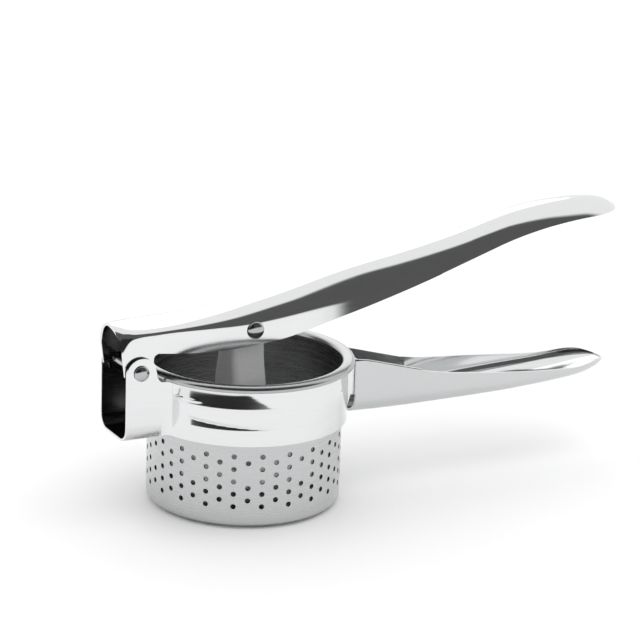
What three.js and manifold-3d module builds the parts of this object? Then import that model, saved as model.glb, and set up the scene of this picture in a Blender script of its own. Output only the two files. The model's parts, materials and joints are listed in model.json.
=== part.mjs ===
// Hand-held potato ricer: a perforated cup hangs in a sheet-metal collar, and a hinged lever
// drives a plunger down into it. Millimetres, +Z up, +X towards the handle ends, -Y the near side.
// The origin is the centre of the cup's flat underside.
import * as THREE from "three";
import { mergeVertices } from "three/addons/utils/BufferGeometryUtils.js";
import Module from "manifold-3d";

const wasm = await Module();
wasm.setup();

const GAP = 0.3; // running and resting clearance between pieces
const DEG = Math.PI / 180;

// Cup
const CUP_R = 40; // outer radius of the wall
const CUP_WALL = 0.8;
const CUP_CORNER = 3.7; // outer radius of the bend between wall and bottom
const CUP_COLUMNS = 44; // columns of holes round the wall, one in each flat facet
const HOLE_R = 1.0;
const HOLE_TOP_Z = 30.55; // height of the first row
const HOLE_PITCH = 5.262; // spacing down a column
const HOLE_FACE_ANGLE = 246.4; // polar angle of a three-hole column
const FLOOR_RINGS = 4; // rings of holes in the bottom
const FLOOR_PITCH = 7.4;
const BEAD_Z = 58.3; // underside of the rolled rim, which rests over the collar
const BEAD_TOP = 61;
const BEAD_R = 44.6;

// Collar, bracket and end tabs, one bent sheet
const SHEET = 1.0;
const COLLAR_LOW = 35.5;
const COLLAR_TOP = 58;
const BAND_R = 42; // outer radius of the proud bands
const RECESS_R = 41.3; // outer radius of the upper recess and of the groove
const GROOVE_Z = [41.6, 42.2, 43.8, 44.4]; // edges of the groove's slopes
const RECESS_Z = [50.4, 51.0]; // slope below the upper recess
const GROOVE_START = 209.6; // polar angle where the groove begins
const BRACKET_LEFT = -58.5;
const BRACKET_HALF = 13; // half of the bracket's outer width
const BRACKET_LOW = 33.5; // underside of the bracket's floor
const BRACKET_ROUND = 6; // outer radius of the bracket's lower corners
const BEND_R = 3; // outside bend between bracket wall and collar
const EAR_X = -52;
const EAR_Z = 62.1;
const EAR_R = 6.5;
const TAB_HALF = 9.7; // the tabs lie inside the lower handle
const TAB_END = 79.9;
const TAB_LOW = 41;
const TAB_BEND_R = 2;

// Pivots
const HINGE = { x: -52.3, z: 62.6 };
const PLUNGER_PIVOT = { x: -2.2, z: 74.7 };
const SHANK_R = 2.4;
const RIVET_HOLE_R = 2.7;
const HINGE_HEAD_R = 3.2;
const PLUNGER_HEAD_R = 3.6;
const HEAD_H = 1.5;

// Handles
const HANDLE_SHEET = 1.2;
const LEVER_TIP = 176.3;
const HANDLE_START = 45.6;
const HANDLE_TIP = 174.3;

// Plunger
const STEM_SHEET = 1.2;
const STEM_WIDE = 12.7; // across the flanges' faces along X
const STEM_HALF_TOP = 6.35; // half width along Y at the pivot
const STEM_HALF_LOW = 9;
const STEM_TOP = 80;
const DISC_R = 34.5;
const DISC_X = 0.2;
const DISC_LOW = 14;
const DISC_SHEET = 1.2;
const DISC_RIM = 3; // height of the turned-up rim
const FOOT = 9; // reach of the stem's feet along Y
const FOOT_RIVET_R = 2.0;

const steel = (color, roughness) => new THREE.MeshStandardMaterial({ color, roughness, metalness: 1 });
const polished = steel(0xd4d6d8, 0.12);
const brushed = steel(0xbfc1c3, 0.38);

// ---- solids -------------------------------------------------------------------------------

// A three.js geometry as a solid, its shared vertices merged.
function solid(geometry, matrix) {
  const bare = new THREE.BufferGeometry();
  bare.setAttribute("position", geometry.getAttribute("position").clone());
  if (geometry.index) bare.setIndex(geometry.index.clone());
  if (matrix) bare.applyMatrix4(matrix);
  const merged = mergeVertices(bare, 1e-4);
  return new wasm.Manifold(
    new wasm.Mesh({
      numProp: 3,
      vertProperties: new Float32Array(merged.attributes.position.array),
      triVerts: new Uint32Array(merged.index.array),
    }),
  );
}

// The same solid on both sides of the object's middle plane.
function bothSides(make) {
  return make(-1).add(make(1));
}

function meshOf(name, made, material) {
  const data = made.getMesh();
  const geometry = new THREE.BufferGeometry();
  geometry.setAttribute("position", new THREE.BufferAttribute(data.vertProperties, 3));
  geometry.setIndex(new THREE.BufferAttribute(data.triVerts, 1));
  geometry.computeVertexNormals();
  const mesh = new THREE.Mesh(geometry, material);
  mesh.name = name;
  return mesh;
}

// An outline drawn in X and Z, as a slab that runs along Y.
function slabXZ(shape, yLow, yHigh, curveSegments = 8) {
  const geometry = new THREE.ExtrudeGeometry(shape, {
    depth: yHigh - yLow,
    bevelEnabled: false,
    curveSegments,
  });
  const turn = new THREE.Matrix4().makeRotationX(Math.PI / 2);
  return solid(geometry, turn.premultiply(new THREE.Matrix4().makeTranslation(0, yHigh, 0)));
}

// An outline drawn in Y and Z, as a bar that runs along X.
function barYZ(shape, xLow, xHigh, curveSegments = 8) {
  const geometry = new THREE.ExtrudeGeometry(shape, {
    depth: xHigh - xLow,
    bevelEnabled: false,
    curveSegments,
  });
  const axes = new THREE.Matrix4().makeBasis(
    new THREE.Vector3(0, 1, 0),
    new THREE.Vector3(0, 0, 1),
    new THREE.Vector3(1, 0, 0),
  );
  return solid(geometry, axes.premultiply(new THREE.Matrix4().makeTranslation(xLow, 0, 0)));
}

// A round pin across the object, at x and z, from -half to half along Y.
function crossPin(x, z, radius, half, sides = 12) {
  const pin = new THREE.CylinderGeometry(radius, radius, 2 * half, sides);
  return solid(pin, new THREE.Matrix4().makeTranslation(x, 0, z));
}

// A turned profile of radius and height, stood up along Z.
function turned(profile, sides, turn = 0) {
  const points = profile.map(([r, z]) => new THREE.Vector2(r, z));
  const lathe = new THREE.LatheGeometry(points, sides, turn);
  return solid(lathe, new THREE.Matrix4().makeRotationX(Math.PI / 2));
}

// Points of an arc in a profile, both ends included.
function arc(cx, cz, r, fromDeg, toDeg, steps) {
  return Array.from({ length: steps + 1 }, (_, i) => {
    const a = (fromDeg + ((toDeg - fromDeg) * i) / steps) * DEG;
    return [cx + r * Math.cos(a), cz + r * Math.sin(a)];
  });
}

// A flat sheet blank, along by across, bent so that point(a, b, side) gives each corner of its
// grid: a and b run from 0 to 1, and side is 0 on the outer face and 1 on the inner face.
function bentSheet(along, across, point) {
  const blank = new THREE.BoxGeometry(1, 1, 1, along, across, 1);
  const place = blank.getAttribute("position");
  for (let i = 0; i < place.count; i++) {
    const a = place.getX(i) + 0.5;
    const b = place.getY(i) + 0.5;
    const side = place.getZ(i) > 0 ? 0 : 1;
    place.setXYZ(i, ...point(a, b, side));
  }
  const made = solid(blank);
  return made.volume() > 0 ? made : solid(flipped(blank));
}

function flipped(geometry) {
  const order = geometry.index.array;
  for (let i = 0; i < order.length; i += 3) [order[i + 1], order[i + 2]] = [order[i + 2], order[i + 1]];
  return geometry;
}

// Smooth value through [x, value] knots.
function through(knots) {
  const curve = new THREE.SplineCurve(knots.map(([x, v]) => new THREE.Vector2(x, v)));
  return (x) => {
    let low = 0;
    let high = 1;
    for (let i = 0; i < 40; i++) {
      const middle = (low + high) / 2;
      if (curve.getPoint(middle).x < x) low = middle;
      else high = middle;
    }
    return curve.getPoint(low).y;
  };
}

// ---- cup ----------------------------------------------------------------------------------

function basket() {
  const inner = CUP_R - CUP_WALL;
  const profile = [
    [0, 0],
    ...arc(CUP_R - CUP_CORNER, CUP_CORNER, CUP_CORNER, -90, 0, 3),
    [CUP_R, BEAD_Z],
    [BEAD_R - 0.7, BEAD_Z],
    [BEAD_R, BEAD_Z + 0.7],
    [BEAD_R, BEAD_Z + 1.5],
    [BEAD_R - 0.8, BEAD_TOP - 0.3],
    [BEAD_R - 2.0, BEAD_TOP],
    [inner + 2.0, BEAD_TOP - 0.3],
    [inner + 0.8, BEAD_TOP - 1.2],
    [inner, BEAD_Z - 0.6],
    ...arc(CUP_R - CUP_CORNER, CUP_CORNER, CUP_CORNER - CUP_WALL, 0, -90, 3),
    [0, CUP_WALL],
  ];
  const facet = 360 / CUP_COLUMNS;
  // A lathe's own angle is the polar angle plus 90, so a column of holes lies on a facet's middle.
  const turn = (HOLE_FACE_ANGLE + facet / 2 + 90) * DEG;
  const cup = turned(profile, CUP_COLUMNS, turn);
  return cup.subtract(wasm.Manifold.union(cupHoles()));
}

// Rows that a wall column has: five holes, four holes set half a pitch down, or three of those.
function columnRows(column) {
  if (column % 2 === 1) return [0, 1, 2, 3, 4];
  return column % 4 === 2 ? [0.5, 1.5, 2.5, 3.5] : [0.5, 2.5, 3.5];
}

function cupHoles() {
  const drill = new THREE.CylinderGeometry(HOLE_R, HOLE_R, 4, 6);
  const holes = [];
  for (let column = 0; column < CUP_COLUMNS; column++) {
    const angle = (HOLE_FACE_ANGLE + (column * 360) / CUP_COLUMNS) * DEG;
    for (const row of columnRows(column)) {
      const aim = new THREE.Matrix4()
        .makeTranslation(0, 0, HOLE_TOP_Z - row * HOLE_PITCH)
        .multiply(new THREE.Matrix4().makeRotationZ(angle))
        .multiply(new THREE.Matrix4().makeTranslation(CUP_R, 0, 0))
        .multiply(new THREE.Matrix4().makeRotationZ(-Math.PI / 2));
      holes.push(solid(drill, aim));
    }
  }
  for (let ring = 1; ring <= FLOOR_RINGS; ring++) {
    for (let i = 0; i < ring * 6; i++) {
      const angle = ((i + 0.5) * 60 * DEG) / ring;
      const x = ring * FLOOR_PITCH * Math.cos(angle);
      const y = ring * FLOOR_PITCH * Math.sin(angle);
      const aim = new THREE.Matrix4()
        .makeTranslation(x, y, 0)
        .multiply(new THREE.Matrix4().makeRotationX(Math.PI / 2));
      holes.push(solid(drill, aim));
    }
  }
  return holes;
}

// ---- collar, bracket and tabs -------------------------------------------------------------

// The outer face of one half of the band seen from above, from the bracket's open end round the
// cup to the tab's end: points with their outward normals, and the polar angle on the round part.
function bandPath() {
  const path = [];
  const bendY = BRACKET_HALF + BEND_R;
  const bendX = -Math.sqrt((BAND_R + BEND_R) ** 2 - bendY ** 2);
  for (const x of [BRACKET_LEFT, (BRACKET_LEFT + bendX) / 2]) {
    path.push({ x, y: BRACKET_HALF, nx: 0, ny: 1 });
  }
  const bendTurn = Math.atan2(-bendX, bendY) / DEG;
  for (let i = 0; i <= 4; i++) {
    const a = (-90 + (bendTurn * i) / 4) * DEG;
    const n = { nx: -Math.cos(a), ny: -Math.sin(a) };
    path.push({ x: bendX - BEND_R * n.nx, y: bendY - BEND_R * n.ny, ...n });
  }
  const from = 90 + bendTurn;
  const tabY = TAB_HALF + TAB_BEND_R;
  const tabX = Math.sqrt((BAND_R + TAB_BEND_R) ** 2 - tabY ** 2);
  const to = Math.atan2(tabY, tabX) / DEG;
  const steps = 27;
  for (let i = 1; i < steps; i++) {
    const polar = from + ((to - from) * i) / steps;
    const a = polar * DEG;
    const n = { nx: Math.cos(a), ny: Math.sin(a) };
    path.push({ x: BAND_R * n.nx, y: BAND_R * n.ny, ...n, polar });
  }
  for (let i = 0; i <= 4; i++) {
    const a = (180 + to + ((90 - to) * i) / 4) * DEG;
    const n = { nx: -Math.cos(a), ny: -Math.sin(a) };
    path.push({ x: tabX - TAB_BEND_R * n.nx, y: tabY - TAB_BEND_R * n.ny, ...n });
  }
  for (const x of [(tabX + TAB_END) / 2, TAB_END]) path.push({ x, y: TAB_HALF, nx: 0, ny: 1 });
  return path;
}

// How far the sheet is pressed in at a height, on the embossed stretch of the band.
function pressedIn(polar, z) {
  if (polar === undefined || polar > 360 - GROOVE_START) return 0;
  const deep = BAND_R - RECESS_R;
  if (z >= RECESS_Z[1]) return deep;
  return z >= GROOVE_Z[1] && z <= GROOVE_Z[2] ? deep : 0;
}

function bandHalf(side) {
  const path = bandPath();
  const levels = [COLLAR_LOW, ...GROOVE_Z, ...RECESS_Z, 72];
  return bentSheet(path.length - 1, levels.length - 1, (a, b, face) => {
    const at = path[Math.round(a * (path.length - 1))];
    const z = levels[Math.round(b * (levels.length - 1))];
    const inward = pressedIn(at.polar, z) + face * SHEET;
    return [at.x - at.nx * inward, side * (at.y - at.ny * inward), z];
  });
}

// Side outline that trims the band: open end, ear, notch, collar edge and sloping tab.
function frameOutline() {
  const shape = new THREE.Shape();
  shape.moveTo(BRACKET_LEFT, BRACKET_LOW + BRACKET_ROUND);
  shape.lineTo(EAR_X - EAR_R, EAR_Z);
  shape.absarc(EAR_X, EAR_Z, EAR_R, Math.PI, 0, true);
  shape.quadraticCurveTo(EAR_X + EAR_R + 0.1, COLLAR_TOP, -43, COLLAR_TOP);
  shape.lineTo(44, COLLAR_TOP);
  shape.quadraticCurveTo(46, 55.5, 52.4, 54.8);
  shape.lineTo(TAB_END - 1.5, 47.6);
  shape.quadraticCurveTo(TAB_END, 47.2, TAB_END, 45.6);
  shape.lineTo(TAB_END, TAB_LOW);
  shape.lineTo(43, TAB_LOW);
  shape.lineTo(43, COLLAR_LOW);
  shape.lineTo(-43.2, COLLAR_LOW);
  shape.lineTo(-43.2, BRACKET_LOW + BRACKET_ROUND);
  shape.closePath();
  return shape;
}

// The bracket's floor and rounded lower corners.
function bracketFloor() {
  const top = BRACKET_LOW + BRACKET_ROUND + 1;
  const shape = new THREE.Shape();
  const trace = (half, low, round, back) => {
    const corner = Math.PI / 2;
    if (back) {
      shape.lineTo(half, top);
      shape.lineTo(half, low + round);
      shape.absarc(half - round, low + round, round, 0, -corner, true);
      shape.absarc(round - half, low + round, round, -corner, -2 * corner, true);
      shape.lineTo(-half, top);
    } else {
      shape.moveTo(-half, top);
      shape.lineTo(-half, low + round);
      shape.absarc(round - half, low + round, round, 2 * corner, 3 * corner, false);
      shape.absarc(half - round, low + round, round, 3 * corner, 4 * corner, false);
      shape.lineTo(half, top);
    }
  };
  trace(BRACKET_HALF, BRACKET_LOW, BRACKET_ROUND, false);
  trace(BRACKET_HALF - SHEET, BRACKET_LOW + SHEET, BRACKET_ROUND - SHEET, true);
  shape.closePath();
  return barYZ(shape, BRACKET_LEFT, -42.2, 6);
}

function collarFrame() {
  const band = bothSides(bandHalf).intersect(slabXZ(frameOutline(), -60, 60));
  return band.add(bracketFloor()).subtract(crossPin(HINGE.x, HINGE.z, RIVET_HOLE_R, 20));
}

// ---- handles ------------------------------------------------------------------------------

// A bent channel along X. At each station, half and rise give its arch and skirt the length of
// its straight walls; up is 1 for an arch on top and -1 for a trough.
function channel(stations, arcSteps, up, section) {
  return bentSheet(stations.length - 1, arcSteps + 2, (a, b, face) => {
    const x = stations[Math.round(a * (stations.length - 1))];
    const { crest, half, rise, power, skirt } = section(x);
    const step = Math.round(b * (arcSteps + 2));
    const w = half - face * Math.min(HANDLE_SHEET, half * 0.45);
    const h = rise - face * Math.min(HANDLE_SHEET, rise * 0.45);
    const spring = crest - up * rise;
    if (step === 0) return [x, -w, spring - up * skirt];
    if (step === arcSteps + 2) return [x, w, spring - up * skirt];
    const t = ((step - 1) / arcSteps) * Math.PI;
    const round = (v) => Math.sign(v) * Math.abs(v) ** (2 / power);
    return [x, -w * round(Math.cos(t)), spring + up * h * round(Math.sin(t))];
  });
}

// Stations along X, closer together towards the rounded tip.
function stationsTo(start, tip, coarse, fine) {
  const bend = tip - 22;
  const list = [];
  for (let i = 0; i < coarse; i++) list.push(start + ((bend - start) * i) / coarse);
  for (let i = 0; i <= fine; i++) list.push(bend + (tip - bend) * Math.sin((i / fine) * 89 * DEG));
  return list;
}

// Half width near a rounded tip.
function tipRound(x, tip, length) {
  const t = Math.max(0, (x - (tip - length)) / length);
  return Math.sqrt(Math.max(0.004, 1 - t * t));
}

const leverCrest = through([
  [-64, 81], [-57, 80.3], [-50, 79.9], [-40, 80.1], [-27, 81], [-12, 82.6], [2, 84.8], [20, 88.1],
  [40, 92.2], [55, 95], [70, 97.7], [85, 100.8], [98, 103.9], [110, 107.3], [122, 110.5],
  [136, 112.8], [149, 113.6], [160, 113.6], [169, 112.4], [177, 108.4],
]);
const leverHalf = through([
  [-64, 11.2], [-46, 11.5], [-25, 11.8], [0, 12.3], [60, 12.5], [110, 13], [140, 13.6], [178, 13.2],
]);
const leverPower = through([
  [-64, 1.35], [-61.2, 1.45], [-57.5, 2.4], [-50, 2.6], [0, 2.5], [60, 2.2], [178, 2.1],
]);
const leverRise = through([
  [-64, 19], [-61.2, 18.5], [-59.5, 11], [-57.5, 5.5], [-52, 3.6], [-38, 4.2], [-22, 6], [0, 8.8],
  [18, 9.6], [40, 9.4], [80, 8.4], [130, 7.2], [178, 7.2],
]);
const leverEdge = [
  [-43, 69.4], [-30, 68], [-15, 67.7], [0, 68.6], [14, 70.4], [32, 74.6], [54, 80.2], [77, 87.2],
  [100, 95.2], [118, 101.2], [134, 105], [150, 107.2], [164, 108], [LEVER_TIP + 1, 108.2],
];

function leverOutline() {
  const shape = new THREE.Shape();
  shape.moveTo(-61.2, 90);
  shape.lineTo(-61.2, 81);
  shape.lineTo(-58.7, 61);
  shape.quadraticCurveTo(-58, 56.6, -53.5, 56.6);
  shape.quadraticCurveTo(-47, 56.6, -46.6, 62);
  shape.lineTo(-46.2, 66);
  shape.quadraticCurveTo(-46, 69.3, -43, 69.4);
  shape.splineThru(leverEdge.slice(1).map(([x, z]) => new THREE.Vector2(x, z)));
  shape.lineTo(LEVER_TIP + 1, 125);
  shape.lineTo(-61.2, 125);
  shape.closePath();
  return shape;
}

function lever() {
  const stations = [-61.3, -59.5, -57.5, -54, ...stationsTo(-49, LEVER_TIP, 18, 7)];
  const arch = channel(stations, 8, 1, (x) => {
    const tip = tipRound(x, LEVER_TIP, 22);
    return {
      crest: leverCrest(x),
      half: leverHalf(x) * tip,
      rise: leverRise(x) * (0.25 + 0.75 * tip),
      power: leverPower(x),
      skirt: 22,
    };
  });
  return arch
    .intersect(slabXZ(leverOutline(), -30, 30, 3))
    .subtract(crossPin(HINGE.x, HINGE.z, RIVET_HOLE_R, 20))
    .subtract(crossPin(PLUNGER_PIVOT.x, PLUNGER_PIVOT.z, RIVET_HOLE_R, 20));
}

const handleKeel = through([
  [40, 32], [55, 31.4], [75, 31.1], [95, 31.6], [115, 32.3], [130, 33], [145, 33.8], [156, 34.8],
  [165, 36.4], [172, 38.2], [176, 39.4],
]);
const handleHalf = through([
  [40, 11.2], [60, 11.2], [80, 11.3], [95, 12.4], [110, 13.4], [122, 13.8], [135, 13.6],
  [150, 13], [176, 12.6],
]);
const handleEdge = [
  [HANDLE_START - 1, 55.6], [52, 54.6], [66, 50.8], [80, 47.2], [92, 45.3], [110, 43.6],
  [130, 41.7], [145, 40.7], [154, 40.7], [162, 41.5], [168, 41.6], [HANDLE_TIP + 1, 39.6],
];

function handleOutline() {
  const shape = new THREE.Shape();
  shape.moveTo(HANDLE_START - 1, 20);
  shape.lineTo(...handleEdge[0]);
  shape.splineThru(handleEdge.slice(1).map(([x, z]) => new THREE.Vector2(x, z)));
  shape.lineTo(HANDLE_TIP + 1, 20);
  shape.closePath();
  return shape;
}

function lowerHandle() {
  const trough = channel(stationsTo(HANDLE_START, HANDLE_TIP, 14, 7), 8, -1, (x) => {
    const tip = tipRound(x, HANDLE_TIP, 22);
    return {
      crest: handleKeel(x),
      half: handleHalf(x) * tip,
      rise: THREE.MathUtils.lerp(8, 6.5, THREE.MathUtils.smoothstep(x, 70, 140)) * (0.3 + 0.7 * tip),
      power: 2.6,
      skirt: THREE.MathUtils.mapLinear(x, HANDLE_START, HANDLE_TIP, 18, 5),
    };
  });
  return trough.intersect(slabXZ(handleOutline(), -30, 30, 3));
}

// ---- rivets and spacers -------------------------------------------------------------------

// A rivet across the object: a shank with a domed head outside each wall.
function crossRivet(at, wall, headR) {
  const seat = wall + GAP;
  const dome = (side) => {
    const cap = arc(0, 0, 1, 0, 90, 3).map(([r, h]) => [r * headR, seat + h * HEAD_H]);
    const foot = [[0, seat - 0.6], [SHANK_R, seat - 0.6], [SHANK_R, seat]];
    const profile = [...foot, ...cap.slice(0, -1), [0, seat + HEAD_H]];
    const points = profile.map(([r, h]) => new THREE.Vector2(r, h));
    const turn = new THREE.Matrix4().makeRotationX(side < 0 ? Math.PI : 0);
    return solid(new THREE.LatheGeometry(points, 12), turn);
  };
  const place = (s) => s.translate([at.x, 0, at.z]);
  return crossPin(at.x, at.z, SHANK_R, seat).add(place(dome(-1))).add(place(dome(1)));
}

// A tube on the plunger rivet that keeps the stem centred between the lever's walls.
function spacer(side) {
  const low = STEM_HALF_TOP + GAP;
  const high = leverHalf(PLUNGER_PIVOT.x) - HANDLE_SHEET - 0.8;
  const profile = [[2.7, low], [3.6, low], [3.6, high], [2.7, high], [2.7, low]];
  const points = profile.map(([r, h]) => new THREE.Vector2(r, h));
  const turn = new THREE.Matrix4().makeRotationX(side < 0 ? Math.PI : 0);
  return solid(new THREE.LatheGeometry(points, 12), turn).translate([PLUNGER_PIVOT.x, 0, PLUNGER_PIVOT.z]);
}

// ---- plunger ------------------------------------------------------------------------------

// The stem's outline across its web, with feet turned out over the disc.
function plungerStem() {
  const low = DISC_LOW + DISC_SHEET + GAP;
  const web = new THREE.Shape();
  const halfAt = [
    [STEM_TOP, STEM_HALF_TOP], [64, STEM_HALF_TOP],
    [48, STEM_HALF_LOW], [low + STEM_SHEET, STEM_HALF_LOW],
  ];
  web.moveTo(-halfAt[0][1], halfAt[0][0]);
  for (const [z, half] of halfAt.slice(1)) web.lineTo(-half, z);
  web.lineTo(-STEM_HALF_LOW, low);
  web.lineTo(STEM_HALF_LOW, low);
  for (const [z, half] of [...halfAt].reverse()) web.lineTo(half, z);
  web.closePath();
  const back = PLUNGER_PIVOT.x - STEM_WIDE / 2;
  const front = back + STEM_WIDE;
  const block = barYZ(web, back, front);
  const hollow = new THREE.Shape();
  hollow.moveTo(STEM_SHEET - halfAt[0][1], STEM_TOP + 1);
  for (const [z, half] of halfAt.slice(1)) hollow.lineTo(STEM_SHEET - half, z);
  hollow.lineTo(STEM_SHEET - STEM_HALF_LOW, low - 1);
  hollow.lineTo(STEM_HALF_LOW - STEM_SHEET, low - 1);
  for (const [z, half] of [...halfAt.slice(1)].reverse()) hollow.lineTo(half - STEM_SHEET, z);
  hollow.lineTo(halfAt[0][1] - STEM_SHEET, STEM_TOP + 1);
  hollow.closePath();
  const foot = bothSides((side) => {
    const y = side * (STEM_HALF_LOW - STEM_SHEET + FOOT / 2);
    const plate = new THREE.BoxGeometry(STEM_WIDE, FOOT, STEM_SHEET);
    return solid(plate, new THREE.Matrix4().makeTranslation(PLUNGER_PIVOT.x, y, low + STEM_SHEET / 2));
  });
  return block
    .subtract(barYZ(hollow, back + STEM_SHEET, front + 1))
    .intersect(slabXZ(stemSide(low), -30, 30, 6))
    .add(foot)
    .subtract(crossPin(PLUNGER_PIVOT.x, PLUNGER_PIVOT.z, RIVET_HOLE_R, 20))
    .subtract(bothSides((side) => footHole(side)));
}

// The stem seen from the side, its top rounded about the pivot.
function stemSide(low) {
  const shape = new THREE.Shape();
  const half = STEM_WIDE / 2;
  shape.moveTo(PLUNGER_PIVOT.x - half, low - 1);
  shape.lineTo(PLUNGER_PIVOT.x + half, low - 1);
  shape.lineTo(PLUNGER_PIVOT.x + half, PLUNGER_PIVOT.z);
  shape.absarc(PLUNGER_PIVOT.x, PLUNGER_PIVOT.z, half - 0.01, 0, Math.PI, false);
  shape.closePath();
  return shape;
}

const footRivetY = STEM_HALF_LOW + FOOT / 2;

function footHole(side) {
  const drill = new THREE.CylinderGeometry(FOOT_RIVET_R + GAP, FOOT_RIVET_R + GAP, 12, 12);
  const aim = new THREE.Matrix4()
    .makeTranslation(PLUNGER_PIVOT.x, side * footRivetY, DISC_LOW)
    .multiply(new THREE.Matrix4().makeRotationX(Math.PI / 2));
  return solid(drill, aim);
}

// A dished plate with a turned-up rim.
function plungerDisc() {
  const top = DISC_LOW + DISC_RIM;
  const bend = 1.8;
  const profile = [
    [0, DISC_LOW],
    ...arc(DISC_R - bend, DISC_LOW + bend, bend, -90, 0, 3),
    [DISC_R, top],
    [DISC_R - DISC_SHEET, top],
    ...arc(DISC_R - bend, DISC_LOW + bend, bend - DISC_SHEET, 0, -90, 2),
    [0, DISC_LOW + DISC_SHEET],
  ];
  return turned(profile, 36)
    .translate([DISC_X, 0, 0])
    .subtract(bothSides((side) => footHole(side)));
}

// A small rivet that clamps a foot of the stem to the disc.
function discRivet(side) {
  const low = DISC_LOW - GAP;
  const high = DISC_LOW + 2 * DISC_SHEET + 2 * GAP;
  const head = FOOT_RIVET_R + 1.2;
  const profile = [
    [0, low - 0.8], [head - 0.8, low - 0.8], [head, low], [FOOT_RIVET_R, low],
    [FOOT_RIVET_R, high], [head, high], [head - 0.8, high + 0.9], [0, high + 0.9],
  ];
  return turned(profile, 12).translate([PLUNGER_PIVOT.x, side * footRivetY, 0]);
}

// ---- assembly -----------------------------------------------------------------------------

const frameGroup = new THREE.Group();
frameGroup.add(
  meshOf("collar_frame", collarFrame(), polished),
  meshOf("lower_handle", lowerHandle(), polished),
);

const leverGroup = new THREE.Group();
leverGroup.add(meshOf("lever", lever(), polished));

const plungerGroup = new THREE.Group();
plungerGroup.add(
  meshOf("plunger_stem", plungerStem(), brushed),
  meshOf("plunger_disc", plungerDisc(), brushed),
  meshOf("disc_rivet_near", discRivet(-1), polished),
  meshOf("disc_rivet_far", discRivet(1), polished),
);

const rivets = new THREE.Group();
rivets.add(
  meshOf("hinge_rivet", crossRivet(HINGE, BRACKET_HALF, HINGE_HEAD_R), polished),
  meshOf("plunger_rivet", crossRivet(PLUNGER_PIVOT, leverHalf(PLUNGER_PIVOT.x), PLUNGER_HEAD_R), polished),
  meshOf("plunger_spacer_near", spacer(-1), brushed),
  meshOf("plunger_spacer_far", spacer(1), brushed),
);

const ricer = new THREE.Group();
ricer.add(meshOf("basket", basket(), brushed), frameGroup, leverGroup, plungerGroup, rivets);

export default ricer;
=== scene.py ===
"""Stainless-steel potato ricer: bent-sheet frame and handles, perforated cup and plunger."""

import json
import math

import bmesh
import bpy
from bpy.props import FloatProperty, FloatVectorProperty, IntProperty, PointerProperty
from mathutils import Matrix, Vector
from mathutils.geometry import delaunay_2d_cdt


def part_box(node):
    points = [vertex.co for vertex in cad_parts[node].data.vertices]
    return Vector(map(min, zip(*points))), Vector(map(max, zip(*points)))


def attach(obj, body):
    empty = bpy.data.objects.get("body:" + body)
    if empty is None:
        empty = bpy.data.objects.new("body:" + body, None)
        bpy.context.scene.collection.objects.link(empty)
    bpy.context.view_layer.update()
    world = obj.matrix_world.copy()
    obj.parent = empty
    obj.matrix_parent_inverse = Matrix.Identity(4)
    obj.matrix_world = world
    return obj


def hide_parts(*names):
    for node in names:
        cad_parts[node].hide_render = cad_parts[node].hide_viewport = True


bl_info = {
    "name": "Potato Ricer",
    "version": (1, 0, 0),
    "blender": (4, 5, 0),
    "location": "View3D > Sidebar > Ricer",
    "description": "Builds a potato ricer's sheet-metal pieces round its packed frame",
    "category": "Add Mesh",
}

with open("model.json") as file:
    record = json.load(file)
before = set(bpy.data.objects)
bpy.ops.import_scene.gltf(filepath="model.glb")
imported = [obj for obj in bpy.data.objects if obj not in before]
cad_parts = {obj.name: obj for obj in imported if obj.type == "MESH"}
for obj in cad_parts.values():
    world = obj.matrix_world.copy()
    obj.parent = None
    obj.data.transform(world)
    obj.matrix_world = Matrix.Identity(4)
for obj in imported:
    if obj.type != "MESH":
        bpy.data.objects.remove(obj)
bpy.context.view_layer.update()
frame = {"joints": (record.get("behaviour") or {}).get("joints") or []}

MM = 0.001
JOINTS = {joint["name"]: joint for joint in frame["joints"]}
PIVOT = Vector(JOINTS["plunger_swing"]["pos_m"]) / MM


def node_mm(node):
    """A frame node's lowest and highest corners in millimetres."""
    low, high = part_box(node)
    return Vector(low) / MM, Vector(high) / MM


CUP_HIGH = node_mm("basket")[1]
BAND_LOW, BAND_HIGH = node_mm("collar_frame")
LEVER_LOW, LEVER_HIGH = node_mm("lever")
TROUGH_LOW, TROUGH_HIGH = node_mm("lower_handle")
STEM_LOW, STEM_HIGH = node_mm("plunger_stem")
DISC_LOW, DISC_HIGH = node_mm("plunger_disc")


# ---- settings -----------------------------------------------------------------------------


def length(name, text, default):
    """A size in metres."""
    return FloatProperty(name=name, description=text, default=default, min=0.0, unit="LENGTH")


def colour(name, text, default):
    return FloatVectorProperty(
        name=name, description=text, default=default, min=0.0, max=1.0, size=3, subtype="COLOR"
    )


def factor(name, text, default):
    return FloatProperty(
        name=name, description=text, default=default, min=0.0, max=1.0, subtype="FACTOR"
    )


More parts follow.
